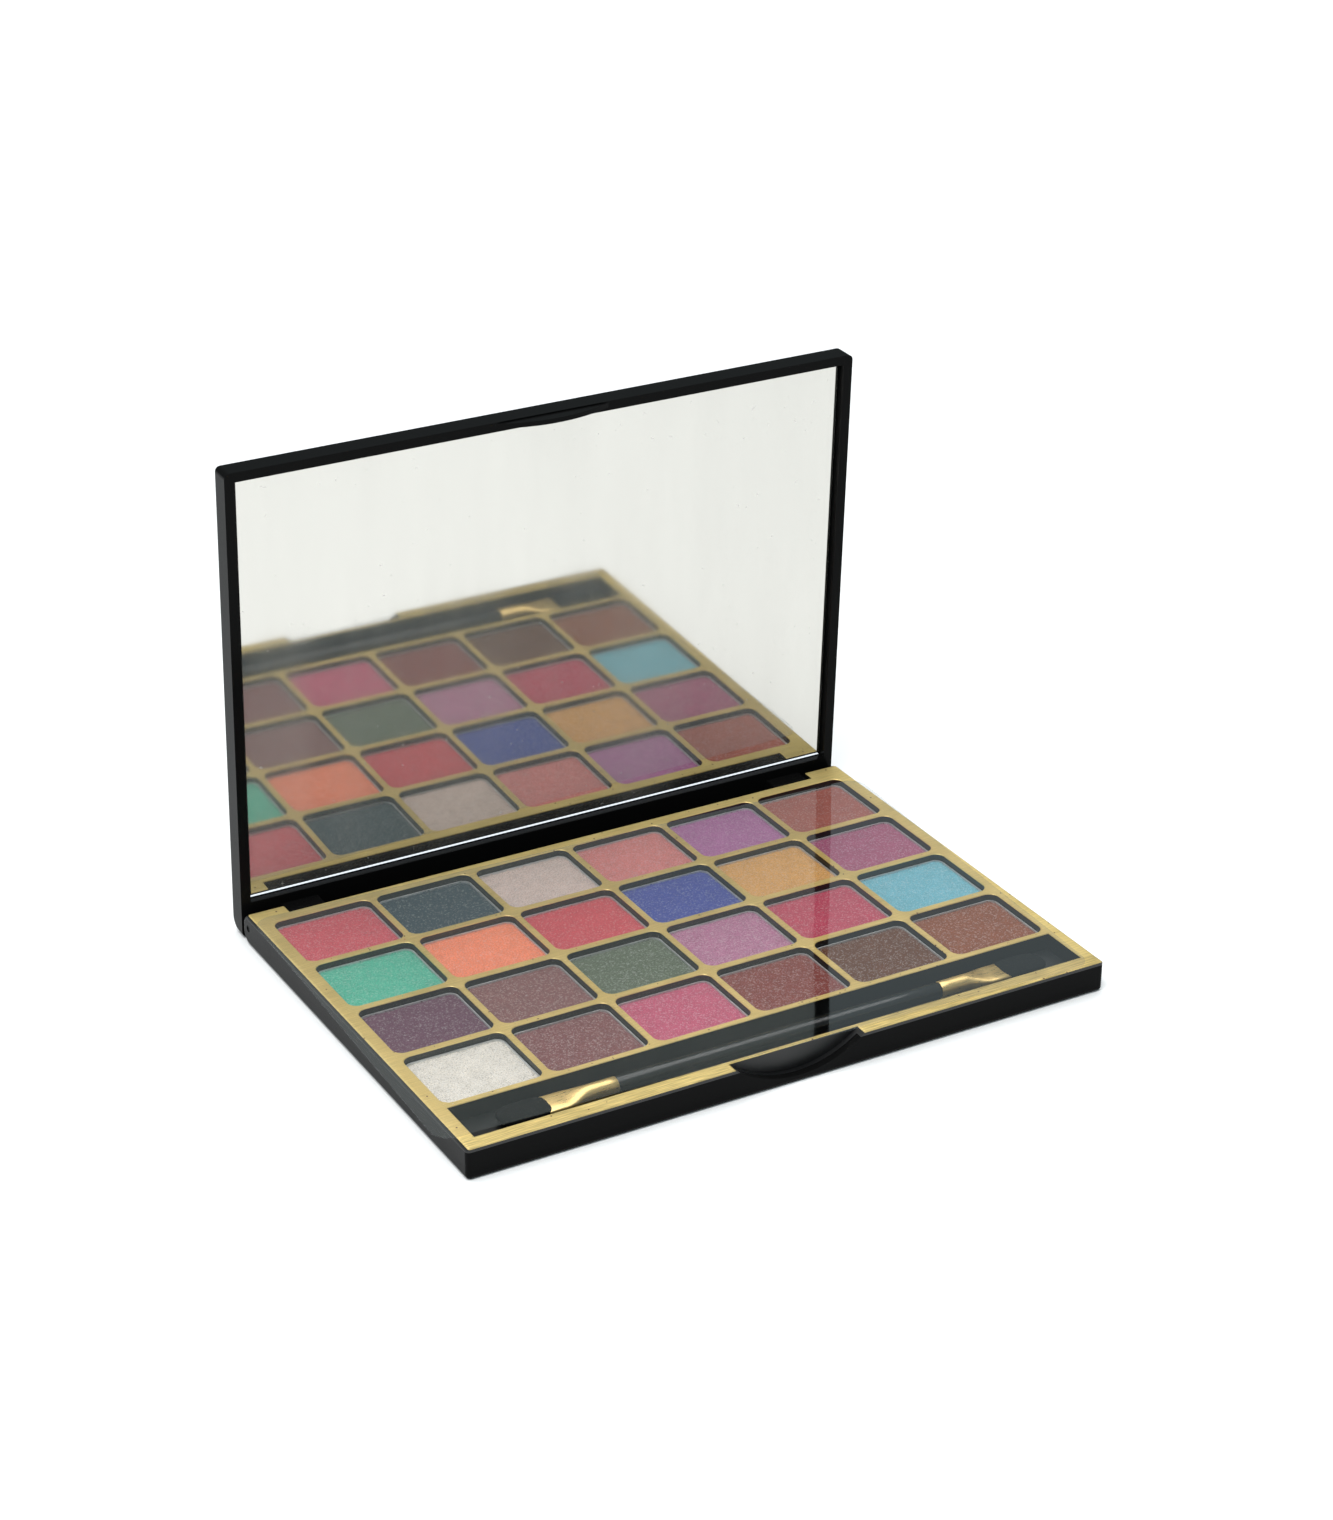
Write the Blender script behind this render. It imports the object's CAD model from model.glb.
"""Slim eyeshadow palette: the looks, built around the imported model.

A black gloss case with a gold-stamped tray, 24 pressed powders in tin pans,
a mirror in the lid, a loose clear film and a double-ended sponge applicator.
Lengths are metres, and MM turns millimetres into them.
"""

import math
import random

import bmesh
import bpy
from mathutils import Matrix, Vector, noise


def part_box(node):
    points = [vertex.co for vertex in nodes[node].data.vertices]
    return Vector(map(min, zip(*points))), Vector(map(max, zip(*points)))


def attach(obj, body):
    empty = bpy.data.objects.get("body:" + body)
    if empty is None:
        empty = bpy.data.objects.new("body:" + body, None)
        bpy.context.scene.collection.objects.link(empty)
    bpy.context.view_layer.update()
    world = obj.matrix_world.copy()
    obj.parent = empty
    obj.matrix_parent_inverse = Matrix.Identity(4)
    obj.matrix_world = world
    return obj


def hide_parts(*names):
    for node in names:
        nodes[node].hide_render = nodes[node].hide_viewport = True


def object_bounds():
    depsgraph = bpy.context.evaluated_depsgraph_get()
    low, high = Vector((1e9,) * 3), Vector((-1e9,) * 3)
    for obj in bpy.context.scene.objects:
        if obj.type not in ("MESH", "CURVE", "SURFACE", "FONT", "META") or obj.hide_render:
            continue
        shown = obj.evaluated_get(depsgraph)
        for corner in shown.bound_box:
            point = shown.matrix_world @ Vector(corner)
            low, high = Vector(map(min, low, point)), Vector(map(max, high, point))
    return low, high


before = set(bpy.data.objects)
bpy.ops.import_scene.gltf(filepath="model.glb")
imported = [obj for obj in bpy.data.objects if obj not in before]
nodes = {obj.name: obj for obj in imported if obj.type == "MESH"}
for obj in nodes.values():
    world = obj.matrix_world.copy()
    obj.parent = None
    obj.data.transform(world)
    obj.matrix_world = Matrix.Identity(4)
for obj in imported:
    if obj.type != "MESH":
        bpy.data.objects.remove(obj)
cad_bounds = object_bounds()

MM = 0.001

# Clear film, as it lies: its size, its turn and its front left corner.
FILM_WIDTH = 151.5 * MM
FILM_DEPTH = 98.0 * MM
FILM_THICKNESS = 0.2 * MM
FILM_CORNER_RADIUS = 4.0 * MM
FILM_TURN = math.radians(-2.0)
FILM_CORNER = Vector((-79.2, -49.9, 7.22)) * MM

MIRROR_THICKNESS = 1.2 * MM
BEVEL_WIDTH = 0.9 * MM
BEVEL_DEPTH = 0.35 * MM
LID_LEAN = math.radians(2.0)

SHARP_ANGLE = math.radians(40)
BAR_TOP = 7.2 * MM
CRUMBS = 36                 # loose grains round each powder

# Real mica flakes are under 0.1 mm; these are as fine as shows. In millimetres.
FLAKE = 0.26

# Heights and edges of the gold foil, in millimetres.
FOIL_BASE = 7.02
WORN_SIDE = (75.1, 75.55)
WORN_FRONT = (-54.6, -54.9)
FRONT_RIM = (-50.0, -51.5)
CHIPPED_ABOVE = 0.77        # noise level at which the foil is gone

# The film mirrors this many times what one surface does. Two real surfaces come to less
# than 2; it is more here because the light round the palette, which it mirrors, is dim.
FILM_MIRRORING = 2.3
PET_IOR = 1.57
ABS_IOR = 1.53

CAKE_CORNER_RADIUS = 1.8 * MM
CAKE_CELL = 0.32 * MM
RING_STEPS = 48
TIP_FULLNESS = 0.62         # under 1 makes the foam tips squarer than an ellipsoid
FLOOR_HALF_SIZE = 40.0

# Powders: shade, colour, how much it glitters from 0 to 1.
SHADES = {
    "crimson": ("D05360", 0.35),
    "jet": ("30444D", 0.1),
    "champagne": ("DDC5BB", 0.7),
    "rose": ("DB817E", 0.45),
    "orchid": ("B46EA3", 0.4),
    "terracotta": ("A95C50", 0.25),
    "emerald": ("51B99B", 0.5),
    "coral": ("F88C66", 0.35),
    "scarlet": ("CC4C56", 0.2),
    "royal_blue": ("414E9D", 0.2),
    "amber": ("DDA45A", 0.5),
    "magenta": ("A85476", 0.4),
    "plum": ("633B50", 0.3),
    "taupe": ("805351", 0.4),
    "olive": ("5B6752", 0.35),
    "lilac": ("B77295", 0.7),
    "raspberry": ("BC425B", 0.35),
    "turquoise": ("73B8C7", 0.5),
    "silver": ("EAE2D6", 1.0),
    "mocha": ("7E4A4A", 0.45),
    "fuchsia": ("C05472", 0.4),
    "maroon": ("813730", 0.4),
    "umber": ("613312", 0.4),
    "copper": ("894724", 0.4),
}


# ---- node and mesh helpers ------------------------------------------------------
def linear(code):
    """An sRGB hex colour as linear RGBA."""
    parts = [int(code[i:i + 2], 16) / 255 for i in (0, 2, 4)]
    return tuple(c / 12.92 if c <= 0.04045 else ((c + 0.055) / 1.055) ** 2.4 for c in parts) + (1.0,)


def add(tree, kind, inputs=None, **settings):
    """Add a node with its settings. inputs maps a socket to a value or to another node's output."""
    node = tree.nodes.new(kind)
    for key, value in settings.items():
        setattr(node, key, value)
    for key, value in (inputs or {}).items():
        if isinstance(value, bpy.types.NodeSocket):
            tree.links.new(value, node.inputs[key])
        else:
            node.inputs[key].default_value = value
    return node


def start_material(name):
    """A new material: itself, its tree, its Principled shader and object coordinates in millimetres."""
    material = bpy.data.materials.new(name)
    material.use_nodes = True
    tree = material.node_tree
    shader = tree.nodes["Principled BSDF"]
    place = add(tree, "ShaderNodeTexCoord").outputs["Object"]
    in_mm = add(tree, "ShaderNodeMapping", {"Vector": place, "Scale": (1000, 1000, 1000)})
    return material, tree, shader, in_mm.outputs["Vector"]


def place_mesh(name, bm):
    """Turn a finished bmesh into an object at the origin, smooth but for its sharp edges."""
    for edge in bm.edges:
        edge.smooth = edge.calc_face_angle(0) < SHARP_ANGLE
    mesh = bpy.data.meshes.new(name)
    bm.to_mesh(mesh)
    bm.free()
    mesh.shade_smooth()
    piece = bpy.data.objects.new(name, mesh)
    bpy.context.scene.collection.objects.link(piece)
    return piece


def finish_piece(piece, body, slot, *stands_for):
    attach(piece, body)
    if stands_for:
        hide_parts(*stands_for)


# ---- materials ------------------------------------------------------------------
def black_abs(name, roughness, scuffs, gloss):
    """Injection-moulded gloss ABS: deep black, with a soft sheen that handling has dulled in patches."""
    material, tree, shader, mm = start_material(name)
    smudge = add(tree, "ShaderNodeTexNoise", {"Vector": mm, "Scale": 1 / 14, "Detail": 4.0})
    level = add(tree, "ShaderNodeMapRange", {
        "Value": smudge.outputs["Fac"], "From Min": 0.35, "From Max": 0.7,
        "To Min": roughness, "To Max": roughness + 0.12,
    })
    tree.links.new(level.outputs["Result"], shader.inputs["Roughness"])
    dust = add(tree, "ShaderNodeTexNoise", {"Vector": mm, "Scale": 1 / 0.7, "Detail": 3.0})
    tint = add(tree, "ShaderNodeMapRange", {
        "Value": dust.outputs["Fac"], "From Min": 0.62, "From Max": 0.8, "To Min": 0.0, "To Max": scuffs,
    })
    colour = add(tree, "ShaderNodeMix", {
        0: tint.outputs["Result"], 6: linear("0E0E0E"), 7: linear("303132"),
    }, data_type="RGBA")
    tree.links.new(colour.outputs[2], shader.inputs["Base Color"])
    shader.inputs["IOR"].default_value = ABS_IOR
    shader.inputs["Specular IOR Level"].default_value = gloss
    peel = add(tree, "ShaderNodeTexNoise", {"Vector": mm, "Scale": 1 / 1.6, "Detail": 2.0})
    bump = add(tree, "ShaderNodeBump", {
        "Height": peel.outputs["Fac"], "Strength": 0.05, "Distance": 0.02 * MM,
    })
    tree.links.new(bump.outputs["Normal"], shader.inputs["Normal"])
    return material


def stamped_gold():
    """Hot-stamped gold foil on the tray's top, and bare black ABS below it and where the foil has chipped."""
    material, tree, shader, mm = start_material("hot_stamped_gold_foil")
    at = add(tree, "ShaderNodeSeparateXYZ", {"Vector": mm})
    top = add(tree, "ShaderNodeMath", {0: at.outputs["Z"], 1: FOIL_BASE}, operation="GREATER_THAN")
    chip = add(tree, "ShaderNodeTexNoise", {"Vector": mm, "Scale": 1 / 0.9, "Detail": 6.0})
    side = add(tree, "ShaderNodeMath", {0: at.outputs["X"]}, operation="ABSOLUTE")
    near_side = add(tree, "ShaderNodeMapRange", {
        "Value": side.outputs[0], "From Min": WORN_SIDE[0], "From Max": WORN_SIDE[1],
        "To Min": 0.0, "To Max": 0.17,
    })
    near_front = add(tree, "ShaderNodeMapRange", {
        "Value": at.outputs["Y"], "From Min": WORN_FRONT[0], "From Max": WORN_FRONT[1],
        "To Min": 0.0, "To Max": 0.08,
    })
    wear = add(tree, "ShaderNodeMath", {0: near_side.outputs["Result"], 1: near_front.outputs["Result"]},
               operation="MAXIMUM")
    worn = add(tree, "ShaderNodeMath", {0: chip.outputs["Fac"], 1: wear.outputs[0]}, operation="ADD")
    sound = add(tree, "ShaderNodeMath", {0: worn.outputs[0], 1: CHIPPED_ABOVE}, operation="LESS_THAN")
    foil = add(tree, "ShaderNodeMath", {0: top.outputs[0], 1: sound.outputs[0]}, operation="MULTIPLY")

    cloud = add(tree, "ShaderNodeTexNoise", {"Vector": mm, "Scale": 1 / 9, "Detail": 5.0})
    tone = add(tree, "ShaderNodeMix", {
        0: cloud.outputs["Fac"], 6: linear("DEC277"), 7: linear("E8D08C"),
    }, data_type="RGBA")
    along = add(tree, "ShaderNodeMapping", {"Vector": mm, "Scale": (0.15, 3.0, 3.0)})
    lines = add(tree, "ShaderNodeTexNoise", {"Vector": along.outputs["Vector"], "Scale": 1.2, "Detail": 3.0})
    darkest = add(tree, "ShaderNodeMapRange", {
        "Value": at.outputs["Y"], "From Min": FRONT_RIM[0], "From Max": FRONT_RIM[1],
        "To Min": 0.86, "To Max": 0.6,
    })
    shade = add(tree, "ShaderNodeMapRange", {
        "Value": lines.outputs["Fac"], "From Min": 0.35, "From Max": 0.65,
        "To Min": darkest.outputs["Result"], "To Max": 1.06,
    })
    lined = add(tree, "ShaderNodeVectorMath", {
        0: tone.outputs[2], "Scale": shade.outputs["Result"],
    }, operation="SCALE")
    cells = add(tree, "ShaderNodeTexVoronoi", {"Vector": mm, "Scale": 1 / 1.5})
    pick = add(tree, "ShaderNodeSeparateColor", {"Color": cells.outputs["Color"]})
    rare = add(tree, "ShaderNodeMath", {0: pick.outputs["Red"], 1: 0.86}, operation="GREATER_THAN")
    small = add(tree, "ShaderNodeMath", {0: cells.outputs["Distance"], 1: 0.14}, operation="LESS_THAN")
    grain = add(tree, "ShaderNodeMath", {0: rare.outputs[0], 1: small.outputs[0]}, operation="MULTIPLY")
    dusted = add(tree, "ShaderNodeMix", {
        0: grain.outputs[0], 6: lined.outputs["Vector"], 7: linear("5A2A26"),
    }, data_type="RGBA")
    colour = add(tree, "ShaderNodeMix", {
        0: foil.outputs[0], 6: linear("0B0C0D"), 7: dusted.outputs[2],
    }, data_type="RGBA")
    tree.links.new(colour.outputs[2], shader.inputs["Base Color"])
    lacquer = add(tree, "ShaderNodeMath", {0: foil.outputs[0], 1: 0.55}, operation="MULTIPLY")
    tree.links.new(lacquer.outputs[0], shader.inputs["Metallic"])
    rub = add(tree, "ShaderNodeMapRange", {
        "Value": cloud.outputs["Fac"], "From Min": 0.3, "From Max": 0.7, "To Min": 0.38, "To Max": 0.5,
    })
    tree.links.new(rub.outputs["Result"], shader.inputs["Roughness"])
    on_foil = add(tree, "ShaderNodeMath", {0: foil.outputs[0], 1: 0.15}, operation="MULTIPLY")
    bump = add(tree, "ShaderNodeBump", {
        "Height": lines.outputs["Fac"], "Strength": on_foil.outputs[0], "Distance": 0.03 * MM,
    })
    tree.links.new(bump.outputs["Normal"], shader.inputs["Normal"])
    return material


def pressed_powder(shade):
    """Pressed mica powder: chalky and mottled, with flakes that each catch the light their own way."""
    code, glitter = SHADES[shade]
    material, tree, shader, mm = start_material(f"pressed_powder_{shade}")
    cloud = add(tree, "ShaderNodeTexNoise", {
        "Vector": mm, "Scale": 1 / 2.4, "Detail": 6.0, "Roughness": 0.65,
    })
    grain = add(tree, "ShaderNodeTexNoise", {"Vector": mm, "Scale": 1 / 0.28, "Detail": 2.0})
    both = add(tree, "ShaderNodeMath", {
        0: grain.outputs["Fac"], 1: 3.0, 2: cloud.outputs["Fac"],
    }, operation="MULTIPLY_ADD")
    level = add(tree, "ShaderNodeMapRange", {
        "Value": both.outputs[0], "From Min": 1.4, "From Max": 2.6,
        "To Min": 0.8 - 0.38 * glitter, "To Max": 1.2 + 0.1 * glitter,
    })
    shaded = add(tree, "ShaderNodeVectorMath", {
        0: linear(code)[:3], "Scale": level.outputs["Result"],
    }, operation="SCALE")
    flakes = add(tree, "ShaderNodeTexVoronoi", {"Vector": mm, "Scale": 1 / FLAKE})
    chance = add(tree, "ShaderNodeSeparateColor", {"Color": flakes.outputs["Color"]})
    lit = add(tree, "ShaderNodeMapRange", {
        "Value": chance.outputs["Red"], "From Min": 0.88 - 0.45 * glitter, "From Max": 1.0,
    })
    pale = add(tree, "ShaderNodeMix", {
        0: 0.45, 6: linear(code), 7: linear("FFFFFF"),
    }, data_type="RGBA")
    strength = add(tree, "ShaderNodeMath", {
        0: lit.outputs["Result"], 1: 0.4 + 0.55 * glitter ** 2,
    }, operation="MULTIPLY")
    colour = add(tree, "ShaderNodeMix", {
        0: strength.outputs[0], 6: shaded.outputs["Vector"], 7: pale.outputs[2],
    }, data_type="RGBA")
    tree.links.new(colour.outputs[2], shader.inputs["Base Color"])
    shine = add(tree, "ShaderNodeMath", {0: lit.outputs["Result"], 1: 0.6 * glitter}, operation="MULTIPLY")
    tree.links.new(shine.outputs[0], shader.inputs["Metallic"])
    gloss = add(tree, "ShaderNodeMapRange", {
        "Value": lit.outputs["Result"], "To Min": 0.75, "To Max": 0.35,
    })
    tree.links.new(gloss.outputs["Result"], shader.inputs["Roughness"])
    shader.inputs["Specular IOR Level"].default_value = 0.35
    shader.inputs["Sheen Weight"].default_value = 0.15
    relief = add(tree, "ShaderNodeMath", {
        0: grain.outputs["Fac"], 1: chance.outputs["Green"],
    }, operation="ADD")
    bump = add(tree, "ShaderNodeBump", {
        "Height": relief.outputs[0], "Strength": 0.8, "Distance": 0.08 * MM,
    })
    tree.links.new(bump.outputs["Normal"], shader.inputs["Normal"])
    return material


def silvered_glass():
    """Silvered float glass: a bright mirror that dust and wiping smears veil in soft upright streaks."""
    material, tree, shader, mm = start_material("silvered_float_glass")
    along = add(tree, "ShaderNodeMapping", {"Vector": mm, "Scale": (0.06, 0.06, 0.012)})
    smear = add(tree, "ShaderNodeTexNoise", {"Vector": along.outputs["Vector"], "Scale": 1.0, "Detail": 5.0})
    haze = add(tree, "ShaderNodeMapRange", {
        "Value": smear.outputs["Fac"], "From Min": 0.4, "From Max": 0.7, "To Min": 0.04, "To Max": 0.065,
    })
    veil = add(tree, "ShaderNodeMapRange", {
        "Value": smear.outputs["Fac"], "From Min": 0.35, "From Max": 0.7, "To Min": 0.97, "To Max": 0.87,
    })
    speck = add(tree, "ShaderNodeTexNoise", {"Vector": mm, "Scale": 1 / 1.1, "Detail": 2.0})
    dust = add(tree, "ShaderNodeMapRange", {
        "Value": speck.outputs["Fac"], "From Min": 0.72, "From Max": 0.76, "To Min": 1.0, "To Max": 0.7,
    })
    clear = add(tree, "ShaderNodeMath", {
        0: veil.outputs["Result"], 1: dust.outputs["Result"],
    }, operation="MULTIPLY")
    shader.inputs["Base Color"].default_value = linear("D3D1CB")
    tree.links.new(clear.outputs[0], shader.inputs["Metallic"])
    tree.links.new(haze.outputs["Result"], shader.inputs["Roughness"])
    return material


def ground_bevel():
    """Ground lower bevel of the glass: a bright, bluish white line, drawn with some light of its own."""
    material, tree, shader, mm = start_material("ground_glass_bevel")
    grit = add(tree, "ShaderNodeTexNoise", {"Vector": mm, "Scale": 1 / 0.4, "Detail": 2.0})
    level = add(tree, "ShaderNodeMix", {
        0: grit.outputs["Fac"], 6: linear("DCE8F0"), 7: linear("FFFFFF"),
    }, data_type="RGBA")
    tree.links.new(level.outputs[2], shader.inputs["Base Color"])
    shader.inputs["Roughness"].default_value = 0.35
    shader.inputs["Emission Color"].default_value = linear("E4ECF4")
    shader.inputs["Emission Strength"].default_value = 1.1
    return material


def clear_pet():
    """Clear PET film: seen through, with the light round it mirrored on its upper face."""
    material, tree, shader, _ = start_material("clear_pet_film")
    shader.inputs["Base Color"].default_value = linear("FFFFFF")
    shader.inputs["Metallic"].default_value = 1.0
    shader.inputs["Roughness"].default_value = 0.03
    facing = add(tree, "ShaderNodeFresnel", {"IOR": PET_IOR})
    both_faces = add(tree, "ShaderNodeMath", {
        0: facing.outputs["Fac"], 1: FILM_MIRRORING,
    }, operation="MULTIPLY")
    side = add(tree, "ShaderNodeNewGeometry")
    front = add(tree, "ShaderNodeMath", {0: 1.0, 1: side.outputs["Backfacing"]}, operation="SUBTRACT")
    mirrored = add(tree, "ShaderNodeMath", {
        0: both_faces.outputs[0], 1: front.outputs[0],
    }, operation="MULTIPLY")
    tree.links.new(mirrored.outputs[0], shader.inputs["Alpha"])
    return material


def cut_film_edge():
    """Cut edge of the film: a whitish line, because it gathers light from inside the sheet."""
    material, tree, shader, mm = start_material("cut_pet_edge")
    nick = add(tree, "ShaderNodeTexNoise", {"Vector": mm, "Scale": 1 / 1.5, "Detail": 3.0})
    level = add(tree, "ShaderNodeMapRange", {
        "Value": nick.outputs["Fac"], "From Min": 0.3, "From Max": 0.7, "To Min": 0.03, "To Max": 0.15,
    })
    tree.links.new(level.outputs["Result"], shader.inputs["Alpha"])
    shader.inputs["Base Color"].default_value = linear("C4CACC")
    shader.inputs["Roughness"].default_value = 0.5
    return material


def metal(name, code, roughness, streak_mm, metallic=1.0):
    """Bare or anodised sheet metal with fine drawing marks along X."""
    material, tree, shader, mm = start_material(name)
    along = add(tree, "ShaderNodeMapping", {"Vector": mm, "Scale": (0.1, 1.0, 1.0)})
    streak = add(tree, "ShaderNodeTexNoise", {
        "Vector": along.outputs["Vector"], "Scale": 1 / streak_mm, "Detail": 4.0,
    })
    level = add(tree, "ShaderNodeMapRange", {
        "Value": streak.outputs["Fac"], "From Min": 0.3, "From Max": 0.7,
        "To Min": roughness * 0.75, "To Max": roughness * 1.35,
    })
    tree.links.new(level.outputs["Result"], shader.inputs["Roughness"])
    tone = add(tree, "ShaderNodeMapRange", {
        "Value": streak.outputs["Fac"], "From Min": 0.3, "From Max": 0.7, "To Min": 0.88, "To Max": 1.08,
    })
    colour = add(tree, "ShaderNodeVectorMath", {
        0: linear(code)[:3], "Scale": tone.outputs["Result"],
    }, operation="SCALE")
    tree.links.new(colour.outputs["Vector"], shader.inputs["Base Color"])
    shader.inputs["Metallic"].default_value = metallic
    bump = add(tree, "ShaderNodeBump", {
        "Height": streak.outputs["Fac"], "Strength": 0.1, "Distance": 0.03 * MM,
    })
    tree.links.new(bump.outputs["Normal"], shader.inputs["Normal"])
    return material


def latex_foam():
    """Fine-celled latex foam: matt, almost black, with open pores."""
    material, tree, shader, mm = start_material("latex_foam")
    cells = add(tree, "ShaderNodeTexVoronoi", {"Vector": mm, "Scale": 1 / 0.35})
    pore = add(tree, "ShaderNodeMapRange", {
        "Value": cells.outputs["Distance"], "From Min": 0.0, "From Max": 0.5, "To Min": 0.25, "To Max": 1.0,
    })
    colour = add(tree, "ShaderNodeVectorMath", {
        0: linear("0A0B0C")[:3], "Scale": pore.outputs["Result"],
    }, operation="SCALE")
    tree.links.new(colour.outputs["Vector"], shader.inputs["Base Color"])
    shader.inputs["Roughness"].default_value = 0.9
    shader.inputs["Specular IOR Level"].default_value = 0.15
    bump = add(tree, "ShaderNodeBump", {
        "Height": cells.outputs["Distance"], "Strength": 0.8, "Distance": 0.12 * MM,
    })
    tree.links.new(bump.outputs["Normal"], shader.inputs["Normal"])
    return material


def soft_plastic(name, code, roughness):
    """Hidden glue or tape: plain, with a faintly uneven surface."""
    material, tree, shader, mm = start_material(name)
    blot = add(tree, "ShaderNodeTexNoise", {"Vector": mm, "Scale": 1 / 1.2, "Detail": 3.0})
    tone = add(tree, "ShaderNodeMapRange", {
        "Value": blot.outputs["Fac"], "From Min": 0.3, "From Max": 0.7, "To Min": 0.85, "To Max": 1.05,
    })
    colour = add(tree, "ShaderNodeVectorMath", {
        0: linear(code)[:3], "Scale": tone.outputs["Result"],
    }, operation="SCALE")
    tree.links.new(colour.outputs["Vector"], shader.inputs["Base Color"])
    shader.inputs["Roughness"].default_value = roughness
    bump = add(tree, "ShaderNodeBump", {
        "Height": blot.outputs["Fac"], "Strength": 0.2, "Distance": 0.1 * MM,
    })
    tree.links.new(bump.outputs["Normal"], shader.inputs["Normal"])
    return material


# ---- pieces ---------------------------------------------------------------------
def dress(node, material):
    """Give a CAD node its finish."""
    piece = nodes[node]
    piece.data.materials.clear()
    piece.data.materials.append(material)


def round_corners(bm, half_x, half_y, radius):
    """Bend a flat rectangular grid's corners into quarter circles, without folding a face."""
    for vert in bm.verts:
        u = abs(vert.co.x) - (half_x - radius)
        v = abs(vert.co.y) - (half_y - radius)
        if u <= 0 or v <= 0:
            continue
        pull = max(u, v) / math.hypot(u, v)
        vert.co.x = math.copysign(half_x - radius + u * pull, vert.co.x)
        vert.co.y = math.copysign(half_y - radius + v * pull, vert.co.y)


def edge_distance(x, y, half_x, half_y, radius):
    """Distance from a point inside a rounded rectangle to its outline."""
    u = abs(x) - (half_x - radius)
    v = abs(y) - (half_y - radius)
    if u > 0 and v > 0:
        return radius - math.hypot(u, v)
    return radius - max(u, v)


def add_crumbs(bm, centre, half_x, half_y, top, seed):
    """Loose grains of powder, most of them along the pan's rear rim and some on the bars."""
    chance = random.Random(seed)
    for count in range(CRUMBS):
        size = chance.uniform(0.07, 0.17) * MM
        grain = bmesh.ops.create_icosphere(bm, subdivisions=1, radius=size)["verts"]
        along = chance.uniform(-0.97, 0.97)
        off = abs(chance.gauss(0, 0.35)) * MM
        height = top - 0.02 * MM
        if count % 4 < 2:
            spot = (along * half_x, half_y - off)
        elif count % 4 == 2:
            spot = (-half_x + off, along * half_y)
        else:
            spot = (along * half_x, -half_y + off)
        if count % 12 == 11:
            spot = (along * half_x, -half_y - 1.2 * MM)
            height = BAR_TOP + 0.03 * MM
        bmesh.ops.scale(bm, vec=(1, chance.uniform(0.6, 1), 0.7), verts=grain)
        bmesh.ops.translate(bm, vec=(centre.x + spot[0], centre.y + spot[1], height), verts=grain)


def make_cake(shade, seed):
    """Pressed powder with a faintly uneven face and a crumbling edge."""
    low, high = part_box(f"cake_{shade}")
    centre = (low + high) / 2
    half_x = (high.x - low.x) / 2
    half_y = (high.y - low.y) / 2
    radius = CAKE_CORNER_RADIUS
    across = round(2 * half_x / CAKE_CELL)
    deep = round(2 * half_y / CAKE_CELL)
    bm = bmesh.new()
    bmesh.ops.create_grid(bm, x_segments=across, y_segments=deep, size=1.0)
    bmesh.ops.scale(bm, vec=(half_x, half_y, 1), verts=bm.verts)
    round_corners(bm, half_x, half_y, radius)
    for vert in bm.verts:
        x, y = vert.co.x, vert.co.y
        spot = Vector((x / MM, y / MM, seed * 7.3))
        swell = 0.04 * noise.noise(spot / 4.5) + 0.007 * noise.noise(spot / 0.9)
        crumb = 0.5 + 0.5 * noise.noise(spot / 0.55)
        inset = edge_distance(x, y, half_x, half_y, radius) / MM
        fall = (0.12 + 0.3 * crumb) * math.exp(-inset / (0.18 + 0.25 * crumb))
        vert.co.z = (swell - fall) * MM
    rim = [edge for edge in bm.edges if edge.is_boundary]
    skirt = bmesh.ops.extrude_edge_only(bm, edges=rim)
    low_verts = [item for item in skirt["geom"] if isinstance(item, bmesh.types.BMVert)]
    for vert in low_verts:
        vert.co.z = low.z - high.z
    bmesh.ops.contextual_create(bm, geom=[e for e in bm.edges if e.is_boundary])
    bmesh.ops.translate(bm, vec=(centre.x, centre.y, high.z), verts=bm.verts)
    bmesh.ops.recalc_face_normals(bm, faces=bm.faces)
    add_crumbs(bm, centre, half_x, half_y, high.z, seed)
    piece = place_mesh(f"powder_{shade}", bm)
    piece.data.materials.append(pressed_powder(shade))
    finish_piece(piece, "base", f"powder_{shade}", f"cake_{shade}")


def make_mirror():
    """Glass plate with a narrow bevel all round its face."""
    low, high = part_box("mirror")
    centre = (low + high) / 2
    width = high.x - low.x
    height = (high.z - low.z - MIRROR_THICKNESS * math.sin(LID_LEAN)) / math.cos(LID_LEAN)
    bm = bmesh.new()
    bmesh.ops.create_cube(bm, size=1.0)
    bmesh.ops.scale(bm, vec=(width, MIRROR_THICKNESS, height), verts=bm.verts)
    front = min(bm.faces, key=lambda f: f.calc_center_median().y)
    bmesh.ops.inset_region(bm, faces=[front], thickness=BEVEL_WIDTH, depth=0.0)
    rim = [vert for vert in bm.verts if vert.co.y < 0 and abs(vert.co.x) > (width - BEVEL_WIDTH) / 2]
    bmesh.ops.translate(bm, vec=(0, BEVEL_DEPTH, 0), verts=rim)
    bm.normal_update()
    for face in bm.faces:
        lower_bevel = face.normal.y < -0.5 and face.normal.z < -0.1
        face.material_index = 1 if lower_bevel else 0
    bmesh.ops.rotate(bm, cent=(0, 0, 0), matrix=Matrix.Rotation(LID_LEAN, 3, "X"), verts=bm.verts)
    bmesh.ops.translate(bm, vec=centre, verts=bm.verts)
    piece = place_mesh("mirror_plate", bm)
    piece.data.shade_flat()
    piece.data.materials.append(silvered_glass())
    piece.data.materials.append(ground_bevel())
    finish_piece(piece, "lid", "mirror_glass", "mirror")


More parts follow.
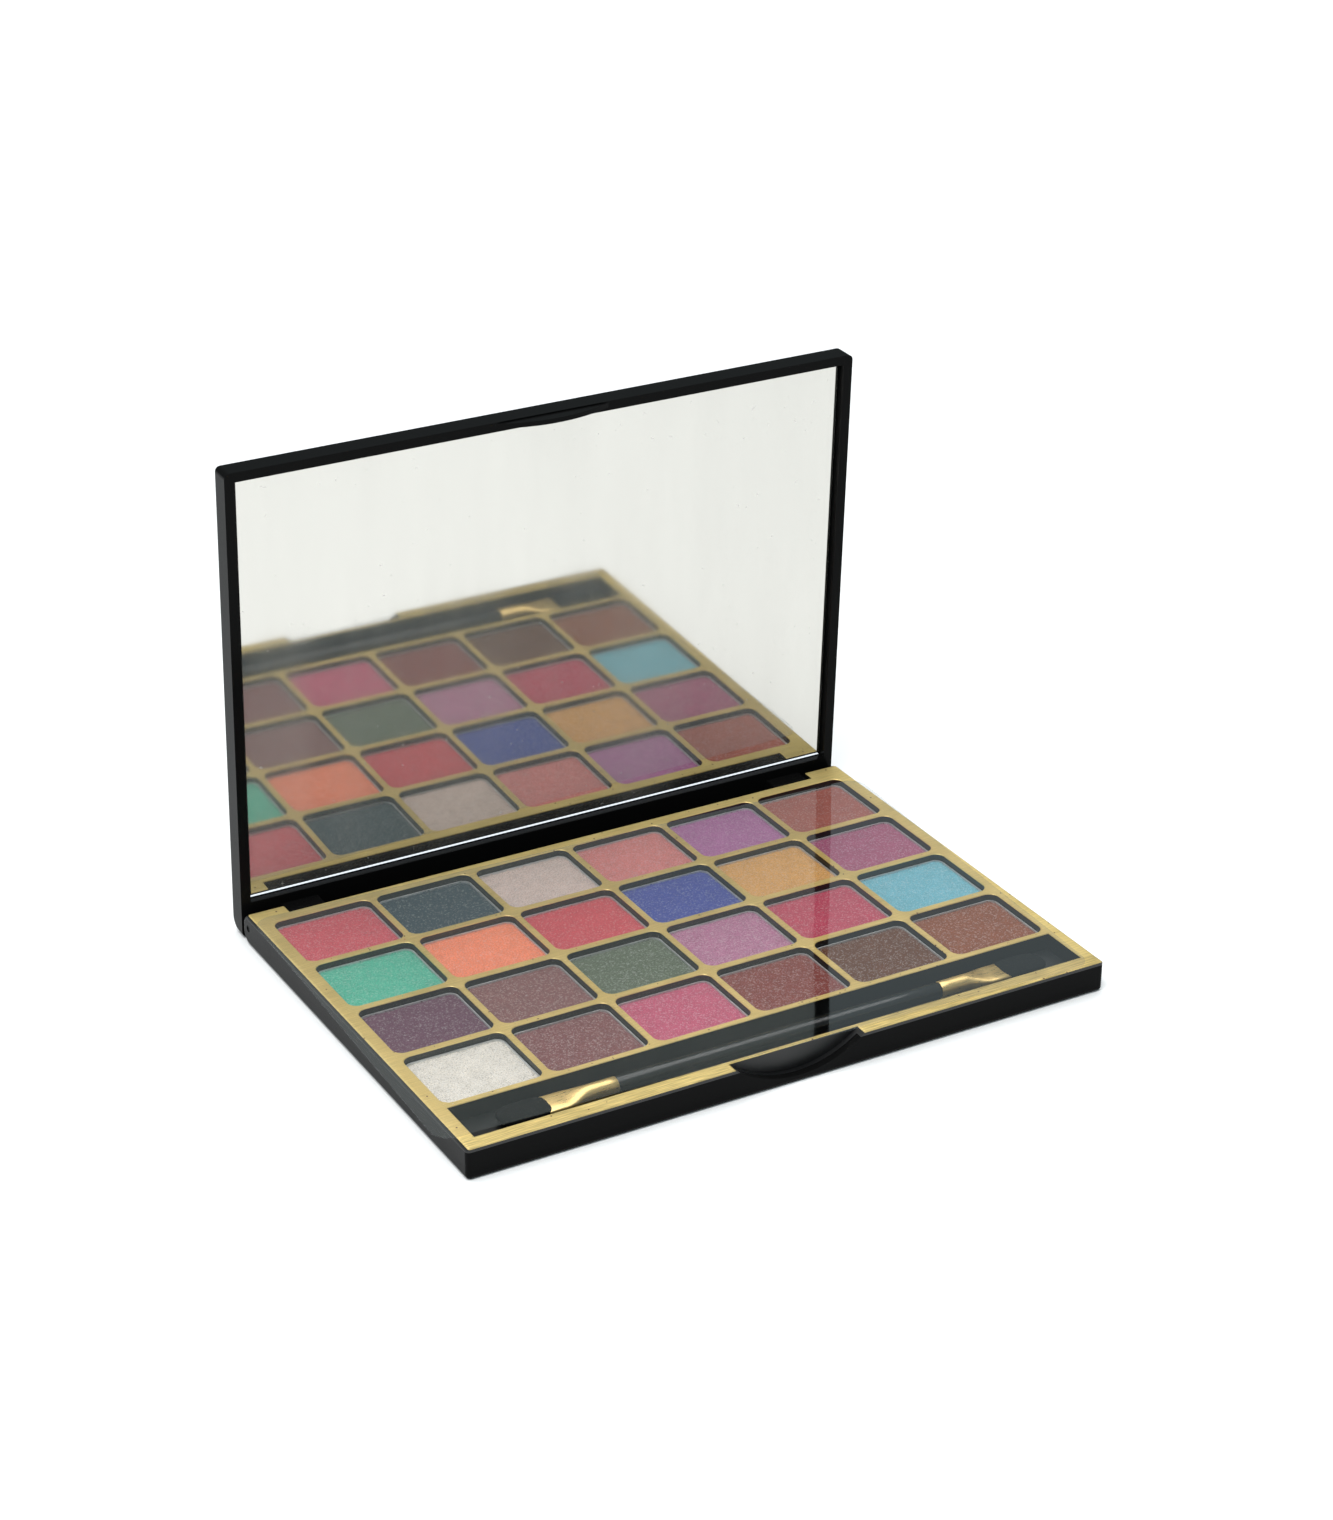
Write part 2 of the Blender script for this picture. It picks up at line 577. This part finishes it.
def make_film():
    """Thin clear sheet with rounded corners, lying slightly wavy on the tray."""
    half_x, half_y = FILM_WIDTH / 2, FILM_DEPTH / 2
    bm = bmesh.new()
    bmesh.ops.create_grid(bm, x_segments=96, y_segments=64, size=1.0)
    bmesh.ops.scale(bm, vec=(half_x, half_y, 1), verts=bm.verts)
    round_corners(bm, half_x, half_y, FILM_CORNER_RADIUS)
    for vert in bm.verts:
        spot = Vector((vert.co.x, vert.co.y, 0)) / MM
        vert.co.z = (0.12 + 0.1 * noise.noise(spot / 38)) * MM
    sheet = list(bm.faces)
    raised = bmesh.ops.extrude_face_region(bm, geom=sheet)
    top = [item for item in raised["geom"] if isinstance(item, bmesh.types.BMVert)]
    bmesh.ops.translate(bm, vec=(0, 0, FILM_THICKNESS), verts=top)
    bmesh.ops.recalc_face_normals(bm, faces=bm.faces)
    for face in bm.faces:
        face.material_index = 1 if abs(face.normal.z) < 0.5 else 0
    bmesh.ops.translate(bm, vec=(half_x, half_y, 0), verts=bm.verts)
    bmesh.ops.rotate(bm, cent=(0, 0, 0), matrix=Matrix.Rotation(FILM_TURN, 3, "Z"), verts=bm.verts)
    bmesh.ops.translate(bm, vec=FILM_CORNER, verts=bm.verts)
    piece = place_mesh("clear_film", bm)
    piece.data.materials.append(clear_pet())
    piece.data.materials.append(cut_film_edge())
    finish_piece(piece, "film", "clear_film", "protective_film")


def ring(bm, x, half_w, half_t, flatness):
    """One closed ring of a tube along X. flatness 0 is an ellipse, and 1 nearly a rectangle."""
    made = bmesh.ops.create_circle(bm, cap_ends=False, radius=1.0, segments=RING_STEPS)["verts"]
    power = 1 - 0.7 * flatness
    for vert in made:
        across, up = vert.co.x, vert.co.y
        across = math.copysign(abs(across) ** power, across)
        up = math.copysign(abs(up) ** power, up)
        vert.co = Vector((x, across * half_w, up * half_t))
    return sorted({edge for vert in made for edge in vert.link_edges}, key=lambda e: e.index)


def bridge_rings(bm, rings):
    for first, second in zip(rings, rings[1:]):
        bmesh.ops.bridge_loops(bm, edges=first + second)


def make_handle(material):
    """Round handle with softly rounded ends, which disappear in the ferrules."""
    low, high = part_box("applicator_handle")
    axis_y, axis_z = (low.y + high.y) / 2, (low.z + high.z) / 2
    radius = (high.z - low.z) / 2
    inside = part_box("ferrule_left")[1].x
    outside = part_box("ferrule_right")[0].x
    tenon = 0.88 * radius
    stations = [
        (low.x, tenon * 0.6), (low.x + 0.4 * MM, tenon), (inside - 0.02 * MM, tenon),
        (inside + 0.02 * MM, radius * 0.93), (inside + 0.3 * MM, radius), (inside + 12 * MM, radius),
        ((inside + outside) / 2, radius), (outside - 12 * MM, radius), (outside - 0.3 * MM, radius),
        (outside - 0.02 * MM, radius * 0.93), (outside + 0.02 * MM, tenon), (high.x - 0.4 * MM, tenon),
        (high.x, tenon * 0.6),
    ]
    bm = bmesh.new()
    rings = [ring(bm, x, r, r, 0) for x, r in stations]
    bridge_rings(bm, rings)
    for end in (rings[0], rings[-1]):
        bmesh.ops.contextual_create(bm, geom=end)
    bmesh.ops.translate(bm, vec=(0, axis_y, axis_z), verts=bm.verts)
    bmesh.ops.recalc_face_normals(bm, faces=bm.faces)
    piece = place_mesh("applicator_stick", bm)
    piece.data.materials.append(material)
    finish_piece(piece, "applicator", "gloss_black_handle", "applicator_handle")


def make_ferrule(side, material):
    """Drawn sleeve: round on the handle, then pressed flat on the foam's root."""
    low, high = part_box(f"ferrule_{side}")
    centre = (low + high) / 2
    length = high.x - low.x
    direction = -1 if side == "left" else 1
    start = high.x if side == "left" else low.x
    round_r = 1.85 * MM
    flat_w, flat_t = 3.1 * MM, 0.75 * MM
    wall = 0.25 * MM
    outline = [  # distance from the handle's end, half width, half thickness, flatness
        (0.0, 0.96, 0.96, 0), (0.12, 1.0, 1.0, 0), (2.0, 1.0, 1.0, 0), (4.0, 1.0, 1.0, 0),
        (6.0, 1.0, 1.0, 0),
    ]
    rings_at = [(d * MM, w * round_r, t * round_r, f) for d, w, t, f in outline]
    for step in range(1, 9):
        part = step / 8
        ease = part * part * (3 - 2 * part)
        rings_at.append((
            (6.0 + 6.3 * part) * MM,
            round_r + (flat_w - round_r) * ease,
            round_r + (flat_t - round_r) * ease,
            0.55 * ease,
        ))
    rings_at.append((length - 0.12 * MM, flat_w, flat_t, 0.55))
    rings_at.append((length, flat_w - 0.1 * MM, flat_t - 0.08 * MM, 0.55))
    rings_at.append((length - 0.05 * MM, flat_w - wall, flat_t - wall, 0.55))
    rings_at.append((12.0 * MM, flat_w - wall, flat_t - wall, 0.55))
    rings_at.append((6.0 * MM, round_r - wall, round_r - wall, 0))
    rings_at.append((0.0, round_r - wall, round_r - wall, 0))
    bm = bmesh.new()
    rings = [ring(bm, start + direction * d, w, t, f) for d, w, t, f in rings_at]
    bridge_rings(bm, rings + rings[:1])
    bmesh.ops.translate(bm, vec=(0, centre.y, centre.z), verts=bm.verts)
    bmesh.ops.recalc_face_normals(bm, faces=bm.faces)
    piece = place_mesh(f"ferrule_sleeve_{side}", bm)
    piece.data.materials.append(material)
    finish_piece(piece, "applicator", "gold_ferrule", f"ferrule_{side}")


def make_tip(side, material):
    """Flat oval foam tip with a soft, porous skin."""
    low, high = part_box(f"sponge_tip_{side}")
    centre = (low + high) / 2
    half = (high - low) / 2
    bm = bmesh.new()
    bmesh.ops.create_icosphere(bm, subdivisions=5, radius=1.0)
    for vert in bm.verts:
        ball = vert.co.copy()
        x = math.copysign(abs(ball.x) ** TIP_FULLNESS, ball.x) * half.x
        y = math.copysign(abs(ball.y) ** TIP_FULLNESS, ball.y) * half.y
        z = math.copysign(abs(ball.z) ** TIP_FULLNESS, ball.z) * half.z
        spot = Vector((x, y, z)) / MM
        pores = 0.06 * noise.noise(spot / 0.45) + 0.04 * noise.noise(spot / 0.2)
        vert.co = Vector((x, y, z)) * 0.985 + ball * pores * MM
    root_side = 1 if side == "left" else -1
    for vert in bm.verts:
        towards = root_side * vert.co.x / half.x
        if towards > 0.35:
            pinch = (towards - 0.35) / 0.65
            vert.co.z *= 1 - 0.68 * pinch
            vert.co.y *= 1 - 0.2 * pinch
    bmesh.ops.translate(bm, vec=centre, verts=bm.verts)
    piece = place_mesh(f"foam_tip_{side}", bm)
    piece.data.materials.append(material)
    finish_piece(piece, "applicator", "black_foam", f"sponge_tip_{side}")


# ---- studio ---------------------------------------------------------------------
def make_camera():
    """Long lens from the front left, looking down on the open palette."""
    target = Vector((0.5, 1.6, 48.2)) * MM
    azimuth = math.radians(29.845)
    elevation = math.radians(26.428)
    roll = math.radians(0.43)
    distance = 714.3 * MM
    back = Vector((-math.sin(azimuth) * math.cos(elevation), -math.cos(azimuth) * math.cos(elevation),
                   math.sin(elevation)))
    data = bpy.data.cameras.new("camera")
    data.sensor_width = 36.0
    data.sensor_fit = "HORIZONTAL"
    data.lens = 91.93
    data.clip_start = 0.01
    camera = bpy.data.objects.new("camera", data)
    turn = back.to_track_quat("Z", "Y").to_matrix() @ Matrix.Rotation(roll, 3, "Z")
    camera.matrix_world = Matrix.Translation(target + back * distance) @ turn.to_4x4()
    bpy.context.scene.collection.objects.link(camera)
    bpy.context.scene.camera = camera


def make_softbox(name, place, aim, size, power):
    data = bpy.data.lights.new(name, "AREA")
    data.shape = "RECTANGLE"
    data.size, data.size_y = size
    data.energy = power
    light = bpy.data.objects.new(name, data)
    away = (Vector(place) - Vector(aim)).normalized()
    light.matrix_world = Matrix.Translation(place) @ away.to_track_quat("Z", "Y").to_matrix().to_4x4()
    bpy.context.scene.collection.objects.link(light)


def make_studio():
    """Pale floor, even surrounding light, a wide overhead sun and one soft box on the left."""
    scene = bpy.context.scene
    scene.view_settings.view_transform = "Standard"
    world = bpy.data.worlds.new("studio")
    world.use_nodes = True
    tree = world.node_tree
    background = tree.nodes["Background"]
    way = add(tree, "ShaderNodeTexCoord").outputs["Generated"]
    part = add(tree, "ShaderNodeSeparateXYZ", {"Vector": way})
    level = add(tree, "ShaderNodeMapRange", {
        "Value": part.outputs["Y"], "From Min": -0.5, "From Max": 0.4, "To Min": 0.36, "To Max": 0.28,
    })
    tree.links.new(level.outputs["Result"], background.inputs["Strength"])
    background.inputs["Color"].default_value = linear("DDF0F5")
    scene.world = world

    sun = bpy.data.lights.new("overhead", "SUN")
    sun.energy = 2.6
    sun.angle = math.radians(70)
    overhead = bpy.data.objects.new("overhead", sun)
    overhead.matrix_world = Matrix.Rotation(math.radians(-12), 4, "X")
    scene.collection.objects.link(overhead)
    make_softbox("softbox_left", (-0.5, -0.3, 0.9), (0, 0, 0), (0.5, 0.5), 5.0)

    bm = bmesh.new()
    bmesh.ops.create_grid(bm, x_segments=8, y_segments=8, size=FLOOR_HALF_SIZE)
    bmesh.ops.translate(bm, vec=(0, 0, cad_bounds[0][2]), verts=bm.verts)
    floor = place_mesh("floor", bm)
    material, _, shader, _ = start_material("white_paper_sweep")
    shader.inputs["Base Color"].default_value = linear("FCFCFC")
    shader.inputs["Roughness"].default_value = 0.9
    shader.inputs["Specular IOR Level"].default_value = 0.1
    floor.data.materials.append(material)


make_camera()
make_studio()

case_black = black_abs("gloss_abs_black", 0.16, 0.05, 0.035)
handle_black = black_abs("gloss_abs_handle", 0.14, 0.02, 0.6)
dress("base_shell", case_black)
dress("lid_shell", case_black)
gold = stamped_gold()
for node in nodes:
    if node.startswith(("tray_", "trough_")):
        dress(node, gold)
dress("hinge_pins", metal("drawn_steel_pin", "A8ABAD", 0.3, 0.3))
dress("pan_glue", soft_plastic("hot_melt_glue", "D8CFA8", 0.4))
dress("mirror_tape", soft_plastic("foam_tape", "E6E6E2", 0.7))
tin = metal("dusty_tinned_steel", "D8DADA", 0.5, 0.5, 0.6)
for node in nodes:
    if node.startswith("pans_"):
        dress(node, tin)
for seed, shade in enumerate(SHADES):
    make_cake(shade, seed)
make_mirror()
make_film()
make_handle(handle_black)
ferrule_gold = metal("anodised_ferrule", "FBD992", 0.32, 0.35, 0.85)
foam = latex_foam()
for side in ("left", "right"):
    make_ferrule(side, ferrule_gold)
    make_tip(side, foam)
